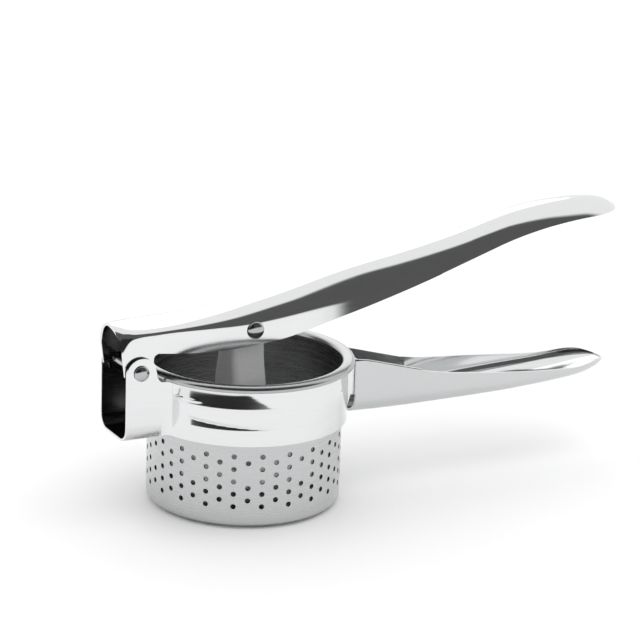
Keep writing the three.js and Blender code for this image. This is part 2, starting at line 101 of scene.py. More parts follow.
class RicerSizes(bpy.types.PropertyGroup):
    """Sizes that a maker would change."""

    cup_wall: length("Cup wall", "Thickness of the cup's sheet", 0.8 * MM)
    cup_corner: length("Cup corner", "Outer radius between wall and bottom", 3.7 * MM)
    rim_reach: length("Rim reach", "How far the rolled rim stands out from the wall", 4.6 * MM)
    rim_height: length("Rim height", "Height of the rolled rim", 2.7 * MM)
    hole: length("Hole radius", "Radius of the cup's holes", 1.1 * MM)
    hole_pitch: length("Hole pitch", "Spacing of the holes down a column", 5.262 * MM)
    hole_top: length("Top row", "Height of the first row of holes", 30.55 * MM)
    hole_columns: IntProperty(
        name="Columns", description="Columns of holes round the cup", default=44, min=8
    )
    hole_face: FloatProperty(
        name="Pattern turn",
        description="Polar angle of a three-hole column",
        default=math.radians(246.4),
        subtype="ANGLE",
    )
    frame_sheet: length("Frame sheet", "Thickness of the collar and bracket", 1.0 * MM)
    handle_sheet: length("Handle sheet", "Thickness of both handles", 1.2 * MM)
    bracket_half: length("Bracket half width", "Half of the bracket's outer width", 13.0 * MM)
    bracket_round: length("Bracket corner", "Outer radius of its lower corners", 6.2 * MM)
    collar_low: length("Collar's lower edge", "Height of the collar's lower edge", 35.5 * MM)
    band_radius: length("Band radius", "Outer radius of the collar's proud bands", 42.0 * MM)
    groove_depth: length("Groove depth", "How deep the collar is pressed in", 0.85 * MM)
    groove_low: length("Groove height", "Height at which the pressed groove starts", 42.0 * MM)
    recess_low: length("Recess height", "Height at which the pressed recess starts", 50.9 * MM)
    lip_height: length("Lip height", "Height of the small lip inside the recess", 52.5 * MM)
    tab_half: length("Tab half width", "Outer half width over the two tabs", 9.7 * MM)
    head_height: length("Head height", "Height of the rivets' domed heads", 1.5 * MM)


class RicerFinishes(bpy.types.PropertyGroup):
    """Colours and polish of the steel; its darker tints are painted shade."""

    polished: colour("Polished", "Tint of the polished sheet", (0.80, 0.805, 0.81))
    # Darker than the polished tint: painted shade on the lower handle's outside.
    handle: colour("Lower handle", "Tint of the lower handle's outside", (0.62, 0.625, 0.63))
    # Near-black tint of the inner faces: painted shade inside the bracket and under the lever.
    inside: colour("Inside", "Tint of the unpolished inner faces", (0.10, 0.10, 0.105))
    # Lighter copies of the inside tint: painted shade where the inner faces lie less deep in shade.
    collar_inside_shade: colour("Tabs' inside", "Tint inside the collar and tabs", (0.5, 0.5, 0.505))
    grip_inside_shade: colour("Grip's inside", "Tint inside the lever's grip", (0.4, 0.4, 0.405))
    brushed: colour("Brushed", "Tint of the brushed cup", (0.62, 0.625, 0.63))
    # Darker than the brushed tint: painted shade inside the cup.
    cup_inside_shade: colour("Cup's inside", "Tint inside the cup", (0.42, 0.42, 0.425))
    # Darker than the brushed tint: painted shade on the rolled rim.
    cup_rim_shade: colour("Rim", "Tint of the cup's rolled rim", (0.46, 0.465, 0.47))
    # Near-black tint of the holes' walls: painted shade inside the holes.
    hole: colour("Holes", "Tint of the holes' walls", (0.12, 0.12, 0.125))
    # Darker than the polished tint: painted shade on the rivets' domes.
    rivet: colour("Rivets", "Tint of the rivets", (0.5, 0.505, 0.51))
    plunger: colour("Plunger", "Tint of the stem, disc and spacers", (0.86, 0.865, 0.87))
    polish: factor("Polish", "Roughness of the polished sheet", 0.09)
    handle_polish: factor("Handle polish", "Roughness of the lower handle's outside", 0.2)
    brush: factor("Brush", "Roughness of the brushed cup", 0.30)


def sizes():
    return bpy.context.scene.ricer_sizes


def finishes():
    return bpy.context.scene.ricer_finishes


# ---- curves -------------------------------------------------------------------------------


def through(knots):
    """A smooth function through (x, value) knots."""
    xs = [x for x, _ in knots]
    vs = [v for _, v in knots]
    last = len(xs) - 1
    slopes = []
    for i in range(last + 1):
        a, b = max(i - 1, 0), min(i + 1, last)
        slopes.append((vs[b] - vs[a]) / (xs[b] - xs[a]))

    def value(x):
        i = min(max(sum(1 for k in xs if k <= x) - 1, 0), last - 1)
        span = xs[i + 1] - xs[i]
        t = min(max((x - xs[i]) / span, 0.0), 1.0)
        return (
            (2 * t**3 - 3 * t**2 + 1) * vs[i]
            + (t**3 - 2 * t**2 + t) * span * slopes[i]
            + (3 * t**2 - 2 * t**3) * vs[i + 1]
            + (t**3 - t**2) * span * slopes[i + 1]
        )

    return value


def smooth(t):
    t = min(max(t, 0.0), 1.0)
    return t * t * (3 - 2 * t)


def ramp(x, x0, x1, v0, v1):
    t = min(max((x - x0) / (x1 - x0), 0.0), 1.0)
    return v0 + (v1 - v0) * t


def spread(start, end, steps):
    return [start + (end - start) * i / steps for i in range(steps)]


def arc(cx, cz, r, a0, a1, steps):
    """Points of an arc, both ends included, angles in degrees."""
    points = []
    for i in range(steps + 1):
        a = math.radians(a0 + (a1 - a0) * i / steps)
        points.append((cx + r * math.cos(a), cz + r * math.sin(a)))
    return points


# ---- meshes -------------------------------------------------------------------------------


def new_piece(name, bm, materials, body, replaced=()):
    """Turns a bmesh in millimetres into a piece on a body."""
    mesh = bpy.data.meshes.new(name)
    bm.to_mesh(mesh)
    bm.free()
    mesh.transform(Matrix.Scale(MM, 4))
    for material in materials:
        mesh.materials.append(material)
    piece = bpy.data.objects.new(name, mesh)
    bpy.context.collection.objects.link(piece)
    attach(piece, body)
    if replaced:
        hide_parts(*replaced)
    return piece


def place(name, bm, materials, body, replaced=(), flat_angle=40):
    """Makes a piece of a closed bmesh, shaded smooth up to flat_angle degrees."""
    bmesh.ops.recalc_face_normals(bm, faces=bm.faces)
    for face in bm.faces:
        face.smooth = True
    limit = math.radians(flat_angle)
    for edge in bm.edges:
        if len(edge.link_faces) == 2 and edge.calc_face_angle(0.0) > limit:
            edge.smooth = False
    return new_piece(name, bm, materials, body, replaced)


def bake_modifiers(piece):
    """Replaces the piece's mesh with its modifiers' result."""
    graph = bpy.context.evaluated_depsgraph_get()
    result = bpy.data.meshes.new_from_object(piece.evaluated_get(graph))
    old = piece.data
    piece.modifiers.clear()
    piece.data = result
    bpy.data.meshes.remove(old)


def thicken(piece, thickness, edge_round):
    """Gives a one-sided sheet its thickness and rounds its cut edges."""
    solid = piece.modifiers.new("thickness", "SOLIDIFY")
    solid.thickness = thickness
    solid.offset = -1.0
    solid.use_even_offset = True
    solid.material_offset = 1
    solid.material_offset_rim = 2
    bevel = piece.modifiers.new("cut edge", "BEVEL")
    bevel.width = edge_round
    bevel.segments = 2
    bevel.limit_method = "ANGLE"
    bevel.angle_limit = math.radians(60)
    bevel.material = 2
    bake_modifiers(piece)
    for edge in piece.data.edges:
        edge.use_edge_sharp = False
    piece.data.shade_smooth()
    shading = piece.modifiers.new("shading", "WEIGHTED_NORMAL")
    shading.keep_sharp = True
    bake_modifiers(piece)


def skin_of_rows(rows):
    """A bmesh of one open skin, whose rows all have the same number of points."""
    bm = bmesh.new()
    grid = [[bm.verts.new(p) for p in row] for row in rows]
    for one, two in zip(grid, grid[1:]):
        for i in range(len(one) - 1):
            bm.faces.new((one[i], two[i], two[i + 1], one[i + 1]))
    return bm


def lathe(profile, sides, centre=(0, 0), along="Z"):
    """A bmesh turned from (radius, height) points; the profile is closed or ends on the axis."""
    bm = bmesh.new()
    rings = []
    for r, h in profile:
        if r < 1e-6:
            rings.append([bm.verts.new((0, 0, h))])
            continue
        ring = []
        for i in range(sides):
            a = 2 * math.pi * i / sides
            ring.append(bm.verts.new((r * math.cos(a), r * math.sin(a), h)))
        rings.append(ring)
    for one, two in zip(rings, rings[1:]):
        bridge(bm, one, two)
    if along == "Y":
        bmesh.ops.rotate(bm, verts=bm.verts, matrix=Matrix.Rotation(math.radians(90), 3, "X"))
        bmesh.ops.translate(bm, verts=bm.verts, vec=(centre[0], 0, centre[1]))
    else:
        bmesh.ops.translate(bm, verts=bm.verts, vec=(centre[0], centre[1], 0))
    return bm


def bridge(bm, one, two):
    """Faces between two rings; a ring of one vertex is a pole."""
    count = max(len(one), len(two))
    for i in range(count):
        j = (i + 1) % count
        if len(one) == 1 and len(two) == 1:
            continue
        if len(one) == 1:
            bm.faces.new((one[0], two[i], two[j]))
        elif len(two) == 1:
            bm.faces.new((one[i], two[0], one[j]))
        else:
            bm.faces.new((one[i], two[i], two[j], one[j]))


# ---- finishes -----------------------------------------------------------------------------

LENGTHWISE = (25, 1400, 1400)  # brush lines along X
EVEN = (900, 900, 900)  # no direction


def steel(name, tint, rough, grain, lines=0.04, smudge=0.05, metallic=1.0, bump=0.02):
    """Steel with brush lines that run across the direction in which grain is large."""
    material = bpy.data.materials.new(name)
    material.use_nodes = True
    tree = material.node_tree
    nodes, links = tree.nodes, tree.links
    shader = nodes["Principled BSDF"]
    shader.inputs["Metallic"].default_value = metallic
    where = nodes.new("ShaderNodeTexCoord")
    stretch = nodes.new("ShaderNodeMapping")
    stretch.inputs["Scale"].default_value = grain
    links.new(where.outputs["Object"], stretch.inputs["Vector"])
    brush = nodes.new("ShaderNodeTexNoise")
    brush.inputs["Scale"].default_value = 1.0
    brush.inputs["Detail"].default_value = 6.0
    brush.inputs["Roughness"].default_value = 0.65
    links.new(stretch.outputs["Vector"], brush.inputs["Vector"])
    cloud = nodes.new("ShaderNodeTexNoise")
    cloud.inputs["Scale"].default_value = 38.0
    cloud.inputs["Detail"].default_value = 3.0
    links.new(where.outputs["Object"], cloud.inputs["Vector"])

    def spread_of(source, low, high):
        node = nodes.new("ShaderNodeMapRange")
        node.inputs["From Min"].default_value = 0.3
        node.inputs["From Max"].default_value = 0.7
        node.inputs["To Min"].default_value = low
        node.inputs["To Max"].default_value = high
        links.new(source, node.inputs["Value"])
        return node.outputs["Result"]

    def joined(kind, a, b):
        node = nodes.new("ShaderNodeMath")
        node.operation = kind
        links.new(a, node.inputs[0])
        links.new(b, node.inputs[1])
        return node.outputs["Value"]

    lined = spread_of(brush.outputs["Fac"], -lines, lines)
    clouded = spread_of(cloud.outputs["Fac"], rough - smudge * rough, rough + smudge * rough)
    links.new(joined("ADD", lined, clouded), shader.inputs["Roughness"])
    shade = joined(
        "MULTIPLY",
        spread_of(brush.outputs["Fac"], 1.0 - lines * 1.6, 1.0),
        spread_of(cloud.outputs["Fac"], 1.0 - smudge * 0.5, 1.0),
    )
    mix = nodes.new("ShaderNodeMix")
    mix.data_type = "RGBA"
    mix.inputs["A"].default_value = (0, 0, 0, 1)
    mix.inputs["B"].default_value = (*tint, 1)
    links.new(shade, mix.inputs["Factor"])
    links.new(mix.outputs["Result"], shader.inputs["Base Color"])
    raised = nodes.new("ShaderNodeBump")
    raised.inputs["Strength"].default_value = bump
    raised.inputs["Distance"].default_value = 0.0002
    links.new(brush.outputs["Fac"], raised.inputs["Height"])
    links.new(raised.outputs["Normal"], shader.inputs["Normal"])
    return material


def sheet_set(name, grain, inside, outside=None, polish=None):
    """Outer face, inner face and bright cut edge of one pressed sheet."""
    f = finishes()
    outside, polish = outside or f.polished, polish or f.polish
    # A dark inside tint paints the shade on the sheet's inner face; such a face is also made rougher.
    dull = 0.26 if max(inside) < 0.5 else f.polish
    return [
        steel(name + "_polished", outside, polish, grain, lines=0.02, bump=0.01),
        steel(name + "_inside", inside, dull, grain, lines=0.03, bump=0.015),
        steel(name + "_edge", f.polished, 0.2, grain, lines=0.03),
    ]


def split_inner_face(piece, from_x, tint):
    """Gives the inner face beyond a place along X a lighter tint of its own, with less painted shade.
    """
    finish = steel(piece.name + "_grip", tint, 0.2, LENGTHWISE, lines=0.03)
    piece.data.materials.append(finish)
    for polygon in piece.data.polygons:
        if polygon.material_index == 1 and polygon.center.x > from_x:
            polygon.material_index = 3


# ---- cup ----------------------------------------------------------------------------------


def column_rows(column):
    """Rows of holes in one column of the cup, in pitches below the first row."""
    if column % 2:
        return [0, 1, 2, 3, 4]
    return [0.5, 1.5, 2.5, 3.5] if column % 4 == 2 else [0.5, 2.5, 3.5]


QUARTER = 4  # grid steps in one hole pitch, and in one column's width


def cup_skin(bm, radius):
    """The perforated wall at a radius; gives its top ring, bottom ring and holes' rims."""
    s = sizes()
    pitch = s.hole_pitch / MM
    top = s.hole_top / MM + pitch / 2
    count = s.hole_columns * QUARTER
    rows = 5 * QUARTER
    step = 2 * math.pi / count
    origin = s.hole_face - step * QUARTER / 2

    def point(col, row):
        a = origin + col * step
        return Vector((radius * math.cos(a), radius * math.sin(a), top - row * pitch / QUARTER))

    holes = []
    hidden = set()
    for column in range(s.hole_columns):
        for row in column_rows(column):
            c0 = column * QUARTER
            r0 = int(round(row * QUARTER))
            holes.append((c0, r0))
            for c in range(1, QUARTER):
                for r in range(1, QUARTER):
                    hidden.add(((c0 + c) % count, r0 + r))
    grid = {}
    for c in range(count):
        for r in range(rows + 1):
            if (c, r) not in hidden:
                grid[c, r] = bm.verts.new(point(c, r))
    cells = [(c, r) for c in range(QUARTER) for r in range(QUARTER)]
    blocks = {((c0 + c) % count, r0 + r) for c0, r0 in holes for c, r in cells}
    for c in range(count):
        for r in range(rows):
            if (c, r) in blocks:
                continue
            d = (c + 1) % count
            bm.faces.new((grid[c, r], grid[c, r + 1], grid[d, r + 1], grid[d, r]))
    rims = []
    for c0, r0 in holes:
        outline = [(c0 + i, r0) for i in range(QUARTER)]
        outline += [(c0 + QUARTER, r0 + i) for i in range(QUARTER)]
        outline += [(c0 + QUARTER - i, r0 + QUARTER) for i in range(QUARTER)]
        outline += [(c0, r0 + QUARTER - i) for i in range(QUARTER)]
        frame_verts = [grid[c % count, r] for c, r in outline]
        middle_a = origin + (c0 + QUARTER / 2) * step
        middle_z = top - (r0 + QUARTER / 2) * pitch / QUARTER
        previous = frame_verts
        for scale in (1.45, 1.0):
            ring = []
            for c, r in outline:
                du = (c - c0 - QUARTER / 2) * step * radius
                dz = -(r - r0 - QUARTER / 2) * pitch / QUARTER
                turn = math.atan2(dz, du)
                u = s.hole / MM * scale * math.cos(turn)
                z = middle_z + s.hole / MM * scale * math.sin(turn)
                a = middle_a + u / radius
                ring.append(bm.verts.new((radius * math.cos(a), radius * math.sin(a), z)))
            bridge(bm, previous, ring)
            previous = ring
        rims.append(previous)
    upper = [grid[c, 0] for c in range(count)]
    lower = [grid[c, rows] for c in range(count)]
    return upper, lower, rims


def ring_at(bm, radius, z, count, origin):
    ring = []
    for i in range(count):
        a = origin + 2 * math.pi * i / count
        ring.append(bm.verts.new((radius * math.cos(a), radius * math.sin(a), z)))
    return ring


def floor_holes():
    """Centres of the holes in the cup's bottom."""
    rings, pitch = 4, 7.4
    centres = []
    for ring in range(1, rings + 1):
        for i in range(ring * 6):
            a = math.radians((i + 0.5) * 60) / ring
            centres.append((ring * pitch * math.cos(a), ring * pitch * math.sin(a)))
    return centres


def cup_bottom(bm, border, z):
    """A flat perforated plate inside a ring of border vertices; gives the holes' rims."""
    sides = 16
    hole = sizes().hole / MM
    points = [Vector((v.co.x, v.co.y)) for v in border]
    loops = [list(range(len(border)))]
    for cx, cy in floor_holes():
        start = len(points)
        for i in range(sides):
            a = -2 * math.pi * i / sides
            points.append(Vector((cx + hole * math.cos(a), cy + hole * math.sin(a))))
        loops.append(list(range(start, start + sides)))
    made = delaunay_2d_cdt(points, [], loops, 5, 1e-6)
    verts = {}
    for i, p in enumerate(made[0]):
        source = made[3][i]
        if source and source[0] < len(border):
            verts[i] = border[source[0]]
        else:
            verts[i] = bm.verts.new((p.x, p.y, z))
    for face in made[2]:
        bm.faces.new([verts[i] for i in face])
    by_source = {made[3][i][0]: verts[i] for i in range(len(made[0])) if made[3][i]}
    return [[by_source[i] for i in loop] for loop in loops[1:]]


def build_basket():
    s = sizes()
    outer = CUP_HIGH.x - s.rim_reach / MM
    wall = s.cup_wall / MM
    corner = s.cup_corner / MM
    count = s.hole_columns * QUARTER
    origin = s.hole_face - math.pi / s.hole_columns
    top = CUP_HIGH.z
    bead = top - s.rim_height / MM
    bm = bmesh.new()
    skins = []
    for radius, r, base in ((outer, corner, 0.0), (outer - wall, corner - wall, wall)):
        upper, lower, rims = cup_skin(bm, radius)
        ring = lower
        for pr, pz in arc(radius - r, base + r, r, 0, -90, 8):
            step = ring_at(bm, pr, pz, count, origin)
            bridge(bm, ring, step)
            ring = step
        plate = cup_bottom(bm, ring, base)
        skins.append((upper, rims + plate))
    reach = CUP_HIGH.x
    inner = outer - wall
    under, nose, crown = 0.9, 1.55, 2.0  # radii of the rim's roll, from below to the inside
    profile = [(outer, bead - 18), (outer, bead - 9), (outer, bead - 0.25), (outer + 0.25, bead)]
    profile += [(reach - under, bead), *arc(reach - under, bead + under, under, -70, 0, 5)]
    profile += arc(reach - nose, top - nose - 0.05, nose, 10, 88, 8)
    profile += [(reach - 2.3, top), *arc(inner + crown, top - crown, crown, 95, 180, 8)]
    profile += [(inner, bead - 1.2), (inner, bead - 9), (inner, bead - 18)]
    ring = skins[0][0]
    for pr, pz in profile:
        step = ring_at(bm, pr, pz, count, origin)
        bridge(bm, ring, step)
        ring = step
    bridge(bm, ring, skins[1][0])
    drilled = len(bm.faces)
    for out_rim, in_rim in zip(skins[0][1], skins[1][1]):
        bridge(bm, out_rim, in_rim)
    f = finishes()
    materials = [
        steel("cup_brushed", f.brushed, f.brush, (9, 9, 2600), lines=0.07, bump=0.05, smudge=0.08),
        steel("cup_inside_shade", f.cup_inside_shade, 0.3, (9, 9, 1500), lines=0.14, bump=0.1),
        steel("cup_rim_shade", f.cup_rim_shade, 0.2, (9, 9, 1200), lines=0.03),
        steel("cup_hole_shade", f.hole, 0.4, EVEN),
    ]
    # The holes' walls take the near-black hole tint: painted shade inside the holes.
    bm.faces.ensure_lookup_table()
    for face in bm.faces[drilled:]:
        face.material_index = 3
    for face in bm.faces[:drilled]:
        centre = face.calc_center_median()
        r = math.hypot(centre.x, centre.y)
        # Faces of the rolled rim take the darker rim tint: painted shade on the rim.
        if centre.z > bead - 0.6 and (r > outer + 0.1 or centre.z > bead + 0.3):
            face.material_index = 2
        # Faces on the cup's inner wall take the darker inside tint: painted shade inside the cup.
        elif r < inner + 0.05 and centre.z > wall * 0.75:
            face.material_index = 1
    return place("cup", bm, materials, "basket", ["basket"])


# ---- frame --------------------------------------------------------------------------------

LOW_LEVELS = 7  # levels of the grid that the bracket bends into its floor
COLLAR_TOP = 58.0
EAR = 6.5  # radius of the ears' round tops
STRETCH_FROM = 52.4  # above this height the grid's levels stretch to the upper edge


def band_levels():
    """Heights of the collar's grid, from its lower edge to its upper edge."""
    s = sizes()
    low, groove_low, recess_low = s.collar_low / MM, s.groove_low / MM, s.recess_low / MM
    below = [low + up for up in (0, 0.25, 0.6, 1.2, 2.2, 3.2, 4.2)]
    groove = [groove_low - 1.7 + 0.3 * i for i in range(23)]
    recess = [recess_low + up for up in (-3.3, -2.5, -1.5, -0.7, -0.3, -0.1, 0.1, 0.4)]
    recess += [recess_low + 0.7 + 0.25 * i for i in range(8)]
    return below + groove + recess + [COLLAR_TOP - 4 + i for i in range(5)]


def band_stations():
    """The frame's outer face seen from above, from the open end of the bracket to a tab's end."""
    s = sizes()
    band, bend, tab_bend = s.band_radius / MM, 3.0, 2.0
    half = s.bracket_half / MM
    left = BAND_LOW.x
    bend_y = half + bend
    bend_x = -math.sqrt((band + bend) ** 2 - bend_y**2)
    ear_right = left + 2 * EAR
    stations = []

    def add(x, y, nx, ny, polar=None):
        stations.append({"x": x, "y": y, "n": (nx, ny), "polar": polar})

    for i in range(33):
        add(left + EAR - EAR * math.cos(math.pi * i / 32), half, 0, 1)
    for x in spread(ear_right + 0.15, bend_x, 8):
        add(x, half, 0, 1)
    bend_turn = math.degrees(math.atan2(-bend_x, bend_y))
    for i in range(13):
        a = math.radians(-90 + bend_turn * i / 12)
        nx, ny = -math.cos(a), -math.sin(a)
        add(bend_x - bend * nx, bend_y - bend * ny, nx, ny)
    tab_half = s.tab_half / MM
    tab_y = tab_half + tab_bend
    tab_x = math.sqrt((band + tab_bend) ** 2 - tab_y**2)
    end = math.degrees(math.atan2(tab_y, tab_x))
    start = 90 + bend_turn
    steps = 90
    for i in range(1, steps):
        polar = start + (end - start) * i / steps
        a = math.radians(polar)
        add(band * math.cos(a), band * math.sin(a), math.cos(a), math.sin(a), polar)
    for i in range(9):
        a = math.radians(180 + end + (90 - end) * i / 8)
        nx, ny = -math.cos(a), -math.sin(a)
        add(tab_x - tab_bend * nx, tab_y - tab_bend * ny, nx, ny)
    tab_end = BAND_HIGH.x
    for x in spread(tab_x + 1.5, tab_end - 2.0, 12):
        add(x, tab_half, 0, 1)
    for i in range(9):
        add(tab_end - 2.0 + 2.0 * math.sin(math.pi / 2 * i / 8), tab_half, 0, 1)
    return stations


def band_top(x):
    """Height of the frame's upper edge: ear, notch, collar and sloping tab."""
    left, ear, ear_z, collar = BAND_LOW.x, EAR, BAND_HIGH.z - EAR, COLLAR_TOP
    if x <= left + 2 * ear:
        return ear_z + math.sqrt(max(0.0, ear**2 - (x - left - ear) ** 2))
    notch = left + 2 * ear
    if x < notch + 2.5:
        t = (x - notch) / 2.5
        return collar + (ear_z - collar) * (1 - math.sqrt(max(0.0, 1 - (1 - t) ** 2)))
    if x < 44:
        return collar
    slope = through([(44, 58), (46.5, 55.9), (52.4, 54.8), (66, 51.1), (78, 47.8), (80, 47.1)])
    end = BAND_HIGH.x
    drop = max(0.0, (x - (end - 2.0)) / 2.0)
    return slope(x) - 2.0 * (1 - math.sqrt(max(0.0, 1 - drop**2)))


def band_bottom(x):
    low = sizes().collar_low / MM
    return low + (41.0 - low) * smooth((x - 42.8) / 1.2)


def pressed(polar, z):
    """Depth of the pressed groove and of the recess above it, at a place on the collar."""
    if polar is None:
        return 0.0
    s = sizes()
    depth, groove_low, recess_low = s.groove_depth / MM, s.groove_low / MM, s.recess_low / MM
    mm_per_degree = s.band_radius / MM * math.pi / 180
    groove_from, recess_from, fading, until = 149.0, 158.5, 101.0, 22.0  # polar angles
    slope = math.tan(math.radians(ramp(polar, 96, 122, 9.5, 13)))
    past = max((polar - groove_from + 3) * mm_per_degree, 0.0, (until - polar) * mm_per_degree)
    end = smooth((2.6 - past) / 1.6)
    upper = groove_low + ramp(polar, fading, groove_from, 0.8, 4.2)
    groove = end * max(0.0, min((z - groove_low) * slope, (upper - z) * 0.6))
    inside = min((recess_from - polar) * mm_per_degree / 1.5, (polar - until) * mm_per_degree / 2.5)
    full = depth * ramp(polar, fading, fading + 13, 0.12, 1.6)
    recess = smooth(inside) * min(max(0.0, (z - recess_low) * slope), full)
    lip = math.exp(-(((z - s.lip_height / MM) / 0.45) ** 2)) * smooth((polar - 141) / 3)
    return max(groove, recess - 0.3 * lip * smooth(inside), 0.0)


def build_collar_frame():
    s = sizes()
    levels = band_levels()
    stations = band_stations()
    half, corner = s.bracket_half / MM, s.bracket_round / MM
    floor_end = -43.0
    low = BAND_LOW.z
    flat = half - corner
    bm = bmesh.new()
    shared = {}

    def wall_point(at, level, side):
        z0, z1 = band_bottom(at["x"]), band_top(at["x"])
        z = levels[level]
        base = levels[0]
        if z0 > base + 1e-6:
            z = z0 + (z - base) * (z1 - z0) / (levels[-1] - base)
        elif z > STRETCH_FROM:
            stretch = (z1 - STRETCH_FROM) / (levels[-1] - STRETCH_FROM)
            z = STRETCH_FROM + (z - STRETCH_FROM) * stretch
        inward = pressed(at["polar"], z)
        nx, ny = at["n"]
        return Vector((at["x"] - nx * inward, side * (at["y"] - ny * inward), z))

    def floor_point(at, level, side):
        if level <= 1:
            return Vector((at["x"], side * flat * level, low))
        a = math.radians(-90 + 90 * (level - 1) / (LOW_LEVELS - 1))
        return Vector(
            (at["x"], side * (flat + corner * math.cos(a)), low + corner + corner * math.sin(a))
        )

    def vertex(side, index, level, floor):
        floor = floor and level < LOW_LEVELS
        key = (0 if floor and level == 0 else side, index, level, floor)
        if key not in shared:
            make = floor_point if floor else wall_point
            shared[key] = bm.verts.new(make(stations[index], level, side))
        return shared[key]

    for side in (-1, 1):
        for i in range(len(stations) - 1):
            floor = stations[i + 1]["x"] <= floor_end and stations[i + 1]["polar"] is None
            for level in range(len(levels) - 1):
                loop = [
                    vertex(side, i, level, floor),
                    vertex(side, i + 1, level, floor),
                    vertex(side, i + 1, level + 1, floor),
                    vertex(side, i, level + 1, floor),
                ]
                bm.faces.new(loop if side < 0 else loop[::-1])
    f = finishes()
    # The inner face takes the near-black inside tint, painted shade inside the bracket; past X = -20 mm
    # a lighter tint, with less painted shade.
    materials = sheet_set("collar_and_bracket", (30, 30, 900), f.inside)
    replaced = ["collar_frame"]
    piece = new_piece("collar_and_bracket", bm, materials, "frame", replaced)
    thicken(piece, s.frame_sheet, 0.28 * MM)
    split_inner_face(piece, -20 * MM, f.collar_inside_shade)
    return piece


# ---- handles ------------------------------------------------------------------------------


TIP_REACH = 22  # length of a handle's rounded tip


def tip_round(x, tip):
    """Share of the full width that is left at a place on a handle's rounded tip."""
    t = max(0.0, (x - (tip - TIP_REACH)) / TIP_REACH)
    return math.sqrt(max(0.0016, 1 - t * t))


def tip_stations(start, tip, coarse, fine=24):
    """Stations along a handle, closer together towards its rounded tip."""
    bend = tip - TIP_REACH
    xs = spread(start, bend, coarse)
    xs += [bend + TIP_REACH * math.sin(math.pi / 2 * i / fine) for i in range(fine)]
    return xs + [tip - 0.02]


def channel_row(x, c, up):
    """Points of a channel's outer face at one station, from one edge over the arch to the other."""
    arch, wall = 36, 8
    edge, power = c["edge"], c["power"]
    spring = c["crest"] - up * c["rise"]
    start = 0.0
    skirt = [(c["half"], edge + (spring - edge) * i / wall) for i in range(wall)]
    if up * (spring - edge) < 0.3:
        share = min(0.96, up * (edge - spring) / c["rise"])
        start = math.asin(share ** (power / 2)) if share > 0 else 0.0
    upper = []
    for i in range(arch + 1):
        t = start + (math.pi - 2 * start) * i / arch
        y = math.copysign(abs(math.cos(t)) ** (2 / power), math.cos(t)) * c["half"]
        upper.append((y, spring + up * c["rise"] * math.sin(t) ** (2 / power)))
    if start > 0.0:
        skirt = [upper[0]] * wall
    full = skirt + upper + [(-y, z) for y, z in reversed(skirt)]
    full = [(y * (1 - c["lean"] * abs(z - edge) / c["half"]), z) for y, z in full]
    return [Vector((x + c["slant"](z), -y, z)) for y, z in full]


def build_channel(name, body, stations, section, up, replaced, finish):
    """An arched sheet along X; up is 1 for an arch on top and -1 for a trough."""
    bm = skin_of_rows([channel_row(x, section(x), up) for x in stations])
    if up < 0:
        bmesh.ops.reverse_faces(bm, faces=bm.faces)
    bmesh.ops.remove_doubles(bm, verts=bm.verts, dist=1e-4)
    bmesh.ops.dissolve_degenerate(bm, dist=1e-5, edges=bm.edges)
    materials = sheet_set(name, LENGTHWISE, *finish)
    piece = new_piece(name, bm, materials, body, replaced)
    thicken(piece, sizes().handle_sheet, 0.3 * MM)
    return piece


LEVER_CREST = through([
    (-64, 81), (-57, 80.3), (-50, 79.9), (-40, 80.1), (-27, 81), (-12, 82.6), (2, 84.8), (20, 88.1),
    (40, 92.2), (55, 95), (70, 97.7), (85, 100.8), (98, 103.9), (110, 107.3), (122, 110.5),
    (136, 112.8), (149, 113.6), (160, 113.6), (169, 112.4), (177, 108.4),
])
LEVER_HALF = through([
    (-64, 11.2), (-46, 11.5), (-25, 11.8), (0, 12.3), (60, 12.5), (110, 13), (140, 13.6),
    (178, 13.2),
])
LEVER_POWER = through([
    (-64, 1.7), (-61.2, 1.75), (-56, 2.3), (-48, 2.5), (-20, 2.3), (0, 2.1), (30, 2), (60, 1.9),
    (178, 1.9),
])
LEVER_RISE = through([
    (-64, 12), (-61.2, 11), (-57, 5.5), (-52, 3.6), (-45, 3.2), (-36, 3.4), (-22, 5), (0, 8), (18, 9.4),
    (40, 9.6), (80, 8.8), (130, 7.6), (178, 7.2),
])
LEVER_EDGE = through([
    (-43.4, 69.4), (-30, 68), (-15, 67.7), (0, 68.6), (14, 70.4), (32, 74.9), (54, 80.6), (77, 87.4),
    (100, 95.2), (118, 101.2), (134, 105), (150, 107.2), (164, 108), (178, 108.2),
])


LOBE_X, LOBE_LOW, LOBE_LEFT, LOBE_RIGHT = -53.5, 56.6, 5.2, 7.1  # the lobe round the hinge
NOTCH_X, NOTCH_Z, NOTCH_R = -43.4, 66.4, 3.0  # the notch beside the lobe


def lever_edge(x):
    """The lever's lower edge: a lobe round the hinge, a rounded notch, then a long sweep."""
    if x <= LOBE_X:
        t = min(1.0, (LOBE_X - x) / LOBE_LEFT)
        return LOBE_LOW + 4.4 * (1 - math.sqrt(max(0.0, 1 - t * t)))
    if x <= LOBE_X + LOBE_RIGHT:
        t = (x - LOBE_X) / LOBE_RIGHT
        return LOBE_LOW + 6.5 * (1 - math.sqrt(max(0.0, 1 - t * t)))
    if x <= NOTCH_X:
        return NOTCH_Z + math.sqrt(max(0.0, NOTCH_R**2 - (x - NOTCH_X) ** 2))
    return LEVER_EDGE(x)


def lever_section(x):
    tip = tip_round(x, LEVER_HIGH.x)
    fade = 1 - smooth((x + 61) / 10)
    return {
        "crest": min(LEVER_CREST(x), LEVER_HIGH.z),
        "half": LEVER_HALF(x) * tip,
        "rise": LEVER_RISE(x) * (0.25 + 0.75 * tip),
        "power": LEVER_POWER(x),
        "edge": lever_edge(x),
        "slant": lambda z: fade * 0.125 * max(0.0, 81 - z),
        "lean": 0.24 * smooth((x - 8) / 42) * tip,
    }


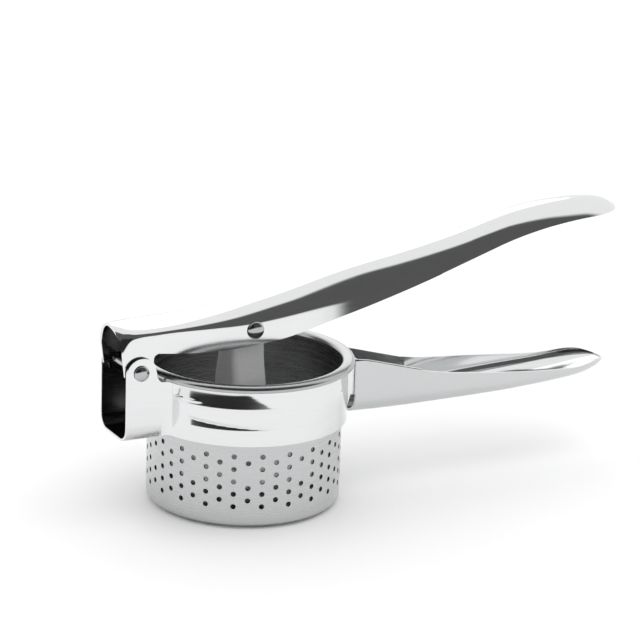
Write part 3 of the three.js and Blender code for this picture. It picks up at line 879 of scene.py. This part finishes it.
def build_lever():
    step = LOBE_X + LOBE_RIGHT  # where the lobe ends and the notch rises
    xs = spread(LEVER_LOW.x + 0.12, LOBE_X, 18)
    xs += [LOBE_X + LOBE_RIGHT * math.sin(math.pi / 2 * i / 16) for i in range(16)]
    xs += [step - 0.002, step + 0.002]
    xs += [NOTCH_X - NOTCH_R * math.cos(math.pi / 2 * i / 10) for i in range(1, 10)]
    xs += tip_stations(NOTCH_X, LEVER_HIGH.x, 110)
    f = finishes()
    # The inner face takes the near-black inside tint, and past X = 20 mm a lighter one: painted shade
    # under the lever.
    piece = build_channel("upper_lever", "lever", xs, lever_section, 1, ["lever"], [f.inside])
    split_inner_face(piece, 20 * MM, f.grip_inside_shade)
    return piece


HANDLE_KEEL = through([
    (40, 32), (55, 31.4), (75, 31.1), (95, 31.6), (115, 32.3), (130, 33), (145, 33.8), (156, 34.8),
    (165, 36.4), (172, 38.2), (176, 39.4),
])
HANDLE_HALF = through([
    (40, 11.2), (60, 11.2), (80, 11.3), (95, 12.4), (110, 13.4), (122, 13.8), (135, 13.6),
    (150, 13), (176, 12.6),
])
HANDLE_EDGE = through([
    (44.6, 55.6), (52, 54.6), (66, 50.8), (80, 47.2), (92, 45.3), (110, 43.6), (130, 41.7),
    (145, 40.7), (154, 40.7), (162, 41.5), (168, 41.6), (176, 39.6),
])


def handle_section(x):
    tip = tip_round(x, TROUGH_HIGH.x)
    flat = smooth((x - 70) / 70)
    return {
        "crest": HANDLE_KEEL(x),
        "half": HANDLE_HALF(x) * tip,
        "rise": (8 - 1.5 * flat) * (0.3 + 0.7 * tip),
        "power": 2.6,
        "edge": HANDLE_EDGE(x),
        "slant": lambda z: 0.0,
        "lean": 0.0,
    }


def build_lower_handle():
    xs = tip_stations(TROUGH_LOW.x, TROUGH_HIGH.x, 90)
    f = finishes()
    # The inside takes the polished tint; the outside takes the darker handle tint, which is painted
    # shade.
    finish = [f.polished, f.handle, f.handle_polish]
    replaced = ["lower_handle"]
    return build_channel("lower_handle_trough", "frame", xs, handle_section, -1, replaced, finish)


# ---- rivets and plunger -------------------------------------------------------------------


def rivet_steel(name):
    # The rivets' darker tint is painted shade.
    return steel(name, finishes().rivet, 0.07, EVEN, lines=0.02, smudge=0.2)


def plain_steel(name, grain=(400, 400, 1800)):
    tint = finishes().plunger
    return steel(name, tint, 0.34, grain, lines=0.05, bump=0.03, metallic=0.45)


def build_cross_rivet(name, node, body):
    """A rivet across the object, with a domed head at each end and the shank between."""
    low, high = node_mm(node)
    head = (high.x - low.x) / 2
    dome = sizes().head_height / MM
    seat = high.y - dome
    shank = 2.4
    centre = ((low.x + high.x) / 2, (low.z + high.z) / 2)
    half = []
    for r, h in arc(0, 0, 1, 90, 8, 12):
        half.append((head * r if r > 1e-6 else 0.0, seat + 0.12 + (dome - 0.12) * h))
    half[0] = (0.0, high.y)
    half += [(head, seat + 0.12), (head - 0.1, seat), (shank + 0.15, seat), (shank, seat - 0.15)]
    profile = half + [(r, -h) for r, h in reversed(half)]
    bm = lathe(profile, 40, centre, "Y")
    return place(name, bm, [rivet_steel(name + "_bright")], body, [node], 50)


def build_spacer(name, node):
    low, high = node_mm(node)
    outer = (high.x - low.x) / 2
    near, far = (low.y, high.y)
    centre = ((low.x + high.x) / 2, (low.z + high.z) / 2)
    bore, chamfer = 2.7, 0.25
    profile = [
        (bore, -near), (outer - chamfer, -near), (outer, -near - chamfer), (outer, -far + chamfer),
        (outer - chamfer, -far), (bore, -far), (bore, -near),
    ]
    bm = lathe(profile, 36, centre, "Y")
    bmesh.ops.remove_doubles(bm, verts=bm.verts, dist=1e-5)
    return place(name, bm, [plain_steel(name + "_steel")], "lever", [node])


def stem_half(z):
    """Half width of the stem along Y at a height."""
    return 6.35 + 2.65 * smooth((64 - z) / 16)


def build_stem():
    """A folded U channel, open towards the handles, with a foot turned out on each side.

    The rows follow its inner face, and the gauge is added outwards.
    """
    gauge = 1.2
    back, front = STEM_LOW.x, STEM_HIGH.x
    foot_z = STEM_LOW.z
    mid_x = (back + front) / 2
    radius = (front - back) / 2
    heights = spread(foot_z, foot_z + gauge + 0.6, 2) + spread(foot_z + gauge + 0.6, PIVOT.z, 28)
    heights += [PIVOT.z + radius * math.sin(math.pi / 2 * i / 10) for i in range(10)]
    heights += [PIVOT.z + radius * 0.999]
    rows = []
    for z in heights:
        half = stem_half(z)
        reach = radius
        if z > PIVOT.z:
            reach = math.sqrt(max(0.0, radius**2 - (z - PIVOT.z) ** 2))
        x0, x1 = mid_x - reach, mid_x + reach
        bend = min(1.6, reach * 0.8)
        near = [(x1 + (x0 + bend - x1) * i / 5, -half) for i in range(5)]
        turn = [(x0 + bend - bend * math.sin(a), -half + bend - bend * math.cos(a))
                for a in [math.pi / 2 * i / 6 for i in range(7)]]
        web = [(x0, (-half + bend) * (1 - i / 3)) for i in range(1, 3)]
        one = near + turn + web
        full = one + [(x0, 0)] + [(x, -y) for x, y in reversed(one)]
        rows.append([Vector((x, y, z)) for x, y in full])
    bm = skin_of_rows(rows)
    bmesh.ops.reverse_faces(bm, faces=bm.faces)
    materials = [plain_steel("stem_outside"), plain_steel("stem_inside"), plain_steel("stem_edge")]
    name, replaced = "plunger_stem_channel", ["plunger_stem"]
    piece = new_piece(name, bm, materials, "plunger", replaced)
    thicken(piece, gauge * MM, 0.25 * MM)
    for side, word in ((-1, "near"), (1, "far")):
        build_foot(side, word, mid_x, radius, foot_z, gauge)
    return piece


def build_foot(side, word, mid_x, radius, z, gauge):
    """A flat foot of the stem with rounded corners and a rivet hole."""
    start, end = 7.6, STEM_HIGH.y
    corner = 2.5
    outline = [(mid_x - radius, side * start)]
    for cx, a0 in ((mid_x - radius + corner, 180), (mid_x + radius - corner, 90)):
        for x, y in arc(cx, end - corner, corner, a0, a0 - 90, 6):
            outline.append((x, side * y))
    outline.append((mid_x + radius, side * start))
    hole = [(mid_x + 2.3 * math.cos(a), side * (13.5 + 2.3 * math.sin(a)))
            for a in [2 * math.pi * i / 24 for i in range(24)]]
    bm = bmesh.new()
    count = len(outline)
    loops = [list(range(count)), list(range(count, count + len(hole)))]
    flat = [Vector(p) for p in outline + hole]
    made = delaunay_2d_cdt(flat, [], loops, 5, 1e-6)
    layers = [[bm.verts.new((p.x, p.y, h)) for p in made[0]] for h in (z, z + gauge)]
    for face in made[2]:
        bm.faces.new([layers[0][i] for i in face][::-1])
        bm.faces.new([layers[1][i] for i in face])
    index = {made[3][i][0]: i for i in range(len(made[0])) if made[3][i]}
    for loop in loops:
        low = [layers[0][index[i]] for i in loop]
        high = [layers[1][index[i]] for i in loop]
        bridge(bm, low, high)
    name = "stem_foot_" + word
    piece = place(name, bm, [plain_steel(name + "_steel")], "plunger")
    round_edges(piece, 0.2 * MM)
    return piece


def round_edges(piece, width):
    bevel = piece.modifiers.new("edge", "BEVEL")
    bevel.width = width
    bevel.segments = 2
    bevel.limit_method = "ANGLE"
    bevel.angle_limit = math.radians(50)
    bake_modifiers(piece)


def build_disc():
    """A dished plate with a turned-up rim and two pressed rings."""
    gauge, bend = 1.2, 1.8
    radius = (DISC_HIGH.x - DISC_LOW.x) / 2
    low, top = DISC_LOW.z, DISC_HIGH.z
    centre = ((DISC_HIGH.x + DISC_LOW.x) / 2, 0)

    def ripple(r):
        return sum(0.35 * math.exp(-(((r - ring) / 1.6) ** 2)) for ring in (24, 30))

    flats = [radius * i / 40 for i in range(38)]
    under = [(r, low + ripple(r)) for r in flats]
    over = [(r, low + gauge + ripple(r)) for r in flats]
    profile = under + arc(radius - bend, low + bend, bend, -90, 0, 8)
    profile += [(radius, top - 0.25), (radius - 0.25, top), (radius - gauge + 0.25, top)]
    profile += [(radius - gauge, top - 0.25)]
    profile += arc(radius - bend, low + bend, bend - gauge, 0, -90, 5) + over[::-1]
    bm = lathe(profile, 96, centre)
    material = plain_steel("disc_steel", EVEN)
    return place("plunger_plate", bm, [material], "plunger", ["plunger_disc"])


def build_disc_rivet(name, node):
    low, high = node_mm(node)
    head = (high.x - low.x) / 2
    shank = 2.0
    centre = ((low.x + high.x) / 2, (low.y + high.y) / 2)
    profile = [(0, low.z), (head * 0.6, low.z + 0.08), (head * 0.9, low.z + 0.35)]
    profile += [(head, low.z + 0.75), (head - 0.05, low.z + 0.82), (shank, low.z + 0.85)]
    profile += [(shank, high.z - 0.95)]
    profile += [(head - 0.05, high.z - 0.92), (head, high.z - 0.85)]
    profile += [(head * 0.9, high.z - 0.4), (head * 0.6, high.z - 0.1), (0, high.z)]
    bm = lathe(profile, 32, centre)
    return place(name, bm, [rivet_steel(name + "_bright")], "plunger", [node], 50)


# ---- stage --------------------------------------------------------------------------------

CAMERA_AZIMUTH = math.radians(28.39)
CAMERA_ELEVATION = math.radians(16.79)
CAMERA_ROLL = math.radians(-2.07)
CAMERA_DISTANCE = 1.051
CAMERA_LENS = 142.7
CAMERA_SHIFT = (0.0320, 0.0720)  # metres across and up from the cup's foot to the view's centre


def build_camera():
    az, el, roll = CAMERA_AZIMUTH, CAMERA_ELEVATION, CAMERA_ROLL
    ahead = Vector((math.sin(az) * math.cos(el), math.cos(az) * math.cos(el), -math.sin(el)))
    level = Vector((math.cos(az), -math.sin(az), 0))
    above = level.cross(ahead)
    right = level * math.cos(roll) - above * math.sin(roll)
    up = level * math.sin(roll) + above * math.cos(roll)
    aim = right * CAMERA_SHIFT[0] + up * CAMERA_SHIFT[1]
    camera = bpy.data.objects.new("camera", bpy.data.cameras.new("camera"))
    bpy.context.collection.objects.link(camera)
    camera.data.sensor_width = 36.0
    camera.data.lens = CAMERA_LENS
    camera.data.clip_end = 100.0
    turn = Matrix((right, up, -ahead)).transposed().to_4x4()
    camera.matrix_world = Matrix.Translation(aim - ahead * CAMERA_DISTANCE) @ turn
    bpy.context.scene.camera = camera


def build_world():
    """A white studio with dark flags above the horizon, which only reflections see."""
    world = bpy.data.worlds.new("studio")
    bpy.context.scene.world = world
    bpy.context.scene.view_settings.view_transform = "Standard"
    world.use_nodes = True
    nodes, links = world.node_tree.nodes, world.node_tree.links
    nodes.clear()
    where = nodes.new("ShaderNodeTexCoord")
    split = nodes.new("ShaderNodeSeparateXYZ")
    links.new(where.outputs["Generated"], split.inputs["Vector"])

    def band(source, from_min, from_max, to_min, to_max):
        node = nodes.new("ShaderNodeMapRange")
        node.interpolation_type = "SMOOTHSTEP"
        node.inputs["From Min"].default_value = from_min
        node.inputs["From Max"].default_value = from_max
        node.inputs["To Min"].default_value = to_min
        node.inputs["To Max"].default_value = to_max
        links.new(source, node.inputs["Value"])
        return node.outputs["Result"]

    def math_node(kind, a, b):
        node = nodes.new("ShaderNodeMath")
        node.operation = kind
        for socket, value in zip(node.inputs, (a, b)):
            if isinstance(value, float):
                socket.default_value = value
            else:
                links.new(value, socket)
        return node.outputs["Value"]

    heading = math_node("ARCTAN2", split.outputs["Y"], split.outputs["X"])
    near = band(split.outputs["Y"], -0.12, 0.05, 1.0, 0.0)
    height = split.outputs["Z"]
    rising = band(height, -0.03, 0.09, 0.0, 1.0)
    flag = math_node("MULTIPLY", rising, band(height, 0.60, 0.74, 1.0, 0.0))

    over = band(split.outputs["Y"], 0.25, 0.45, 1.0, 0.0)
    far = math_node("MULTIPLY", flag, band(split.outputs["Y"], 0.25, 0.45, 0.0, 1.0))

    def shaded(depth, region, side):
        covered = math_node("MULTIPLY", region, side)
        return math_node("SUBTRACT", 1.0, math_node("MULTIPLY", covered, depth))

    def left_of(low, high):
        return band(heading, math.radians(low), math.radians(high), 1.0, 0.0)

    black = math_node("MULTIPLY", flag, left_of(-92, -80))
    grey = math_node("MULTIPLY", rising, left_of(-40, -15))
    back = band(heading, math.radians(112), math.radians(128), 0.0, 1.0)
    light = math_node("MULTIPLY", shaded(0.80, black, near), shaded(0.90, grey, over))
    light = math_node("MULTIPLY", light, shaded(0.85, back, far))
    ray = nodes.new("ShaderNodeLightPath")
    seen = nodes.new("ShaderNodeMix")
    seen.data_type = "FLOAT"
    links.new(ray.outputs["Is Glossy Ray"], seen.inputs["Factor"])
    seen.inputs["A"].default_value = 1.0
    links.new(light, seen.inputs["B"])
    ground = nodes.new("ShaderNodeBackground")
    ground.inputs["Color"].default_value = (1.0, 1.0, 1.0, 1.0)
    links.new(seen.outputs["Result"], ground.inputs["Strength"])
    out = nodes.new("ShaderNodeOutputWorld")
    links.new(ground.outputs["Background"], out.inputs["Surface"])


def build_floor():
    reach, steps, height = 1700, 12, -0.3
    at = [reach * (2 * i / steps - 1) for i in range(steps + 1)]
    bm = skin_of_rows([[(x, y, height) for y in at] for x in at])
    mesh = bpy.data.meshes.new("floor")
    bm.to_mesh(mesh)
    bm.free()
    mesh.transform(Matrix.Scale(MM, 4))
    material = bpy.data.materials.new("floor_paint")
    material.use_nodes = True
    shader = material.node_tree.nodes["Principled BSDF"]
    shader.inputs["Base Color"].default_value = (0.95, 0.95, 0.95, 1)
    shader.inputs["Roughness"].default_value = 0.9
    mesh.materials.append(material)
    floor = bpy.data.objects.new("floor", mesh)
    bpy.context.collection.objects.link(floor)


def build_lights():
    target = Vector((0.03, 0, 0.05))
    for name, at, size, power in (
        ("key", (0.3, -0.35, 1.5), 1.1, 3.5),
        ("back", (0.4, 1.3, 0.8), 1.2, 2.0),
    ):
        lamp = bpy.data.lights.new(name, "AREA")
        lamp.shape = "DISK"
        lamp.size = size
        lamp.energy = power
        light = bpy.data.objects.new(name, lamp)
        bpy.context.collection.objects.link(light)
        light.location = at
        light.visible_glossy = name != "key"
        light.rotation_mode = "QUATERNION"
        light.rotation_quaternion = (target - Vector(at)).to_track_quat("-Z", "Y")


# ---- operators ----------------------------------------------------------------------------


class RicerOperator:
    """Shared base of the builders below."""

    bl_options = {"REGISTER", "UNDO"}


class RICER_OT_stage(RicerOperator, bpy.types.Operator):
    """Makes the camera, the studio light and the floor"""

    bl_idname = "ricer.stage"
    bl_label = "Stage"

    def execute(self, context):
        build_camera()
        build_world()
        build_floor()
        build_lights()
        return {"FINISHED"}


class RICER_OT_cup(RicerOperator, bpy.types.Operator):
    """Makes the perforated cup"""

    bl_idname = "ricer.cup"
    bl_label = "Cup"

    def execute(self, context):
        build_basket()
        return {"FINISHED"}


class RICER_OT_frame(RicerOperator, bpy.types.Operator):
    """Makes the collar with its bracket and tabs"""

    bl_idname = "ricer.frame"
    bl_label = "Collar and bracket"

    def execute(self, context):
        build_collar_frame()
        return {"FINISHED"}


class RICER_OT_handles(RicerOperator, bpy.types.Operator):
    """Makes the upper lever and the lower handle"""

    bl_idname = "ricer.handles"
    bl_label = "Handles"

    def execute(self, context):
        build_lever()
        build_lower_handle()
        return {"FINISHED"}


class RICER_OT_rivets(RicerOperator, bpy.types.Operator):
    """Makes the hinge rivet, the plunger rivet and its spacers"""

    bl_idname = "ricer.rivets"
    bl_label = "Rivets"

    def execute(self, context):
        build_cross_rivet("hinge_pin", "hinge_rivet", "lever")
        build_cross_rivet("plunger_pin", "plunger_rivet", "lever")
        build_spacer("spacer_near", "plunger_spacer_near")
        build_spacer("spacer_far", "plunger_spacer_far")
        return {"FINISHED"}


class RICER_OT_plunger(RicerOperator, bpy.types.Operator):
    """Makes the plunger's stem, disc and rivets"""

    bl_idname = "ricer.plunger"
    bl_label = "Plunger"

    def execute(self, context):
        build_stem()
        build_disc()
        build_disc_rivet("foot_rivet_near", "disc_rivet_near")
        build_disc_rivet("foot_rivet_far", "disc_rivet_far")
        return {"FINISHED"}


class RICER_PT_panel(bpy.types.Panel):
    """Lists the ricer's builders and settings"""

    bl_label = "Potato Ricer"
    bl_idname = "RICER_PT_panel"
    bl_space_type = "VIEW_3D"
    bl_region_type = "UI"
    bl_category = "Ricer"

    def draw(self, context):
        for operator in OPERATORS:
            self.layout.operator(operator.bl_idname)
        for group in (context.scene.ricer_sizes, context.scene.ricer_finishes):
            box = self.layout.box()
            for name in group.bl_rna.properties.keys():
                if name not in ("rna_type", "name"):
                    box.prop(group, name)


OPERATORS = (
    RICER_OT_stage,
    RICER_OT_cup,
    RICER_OT_frame,
    RICER_OT_handles,
    RICER_OT_rivets,
    RICER_OT_plunger,
)
CLASSES = (RicerSizes, RicerFinishes, *OPERATORS, RICER_PT_panel)


def register():
    for cls in CLASSES:
        bpy.utils.register_class(cls)
    bpy.types.Scene.ricer_sizes = PointerProperty(type=RicerSizes)
    bpy.types.Scene.ricer_finishes = PointerProperty(type=RicerFinishes)


def unregister():
    del bpy.types.Scene.ricer_finishes
    del bpy.types.Scene.ricer_sizes
    for cls in reversed(CLASSES):
        bpy.utils.unregister_class(cls)


def main():
    register()
    bpy.ops.ricer.stage()
    bpy.ops.ricer.cup()
    bpy.ops.ricer.frame()
    bpy.ops.ricer.handles()
    bpy.ops.ricer.rivets()
    bpy.ops.ricer.plunger()


if __name__ == "__main__":
    main()
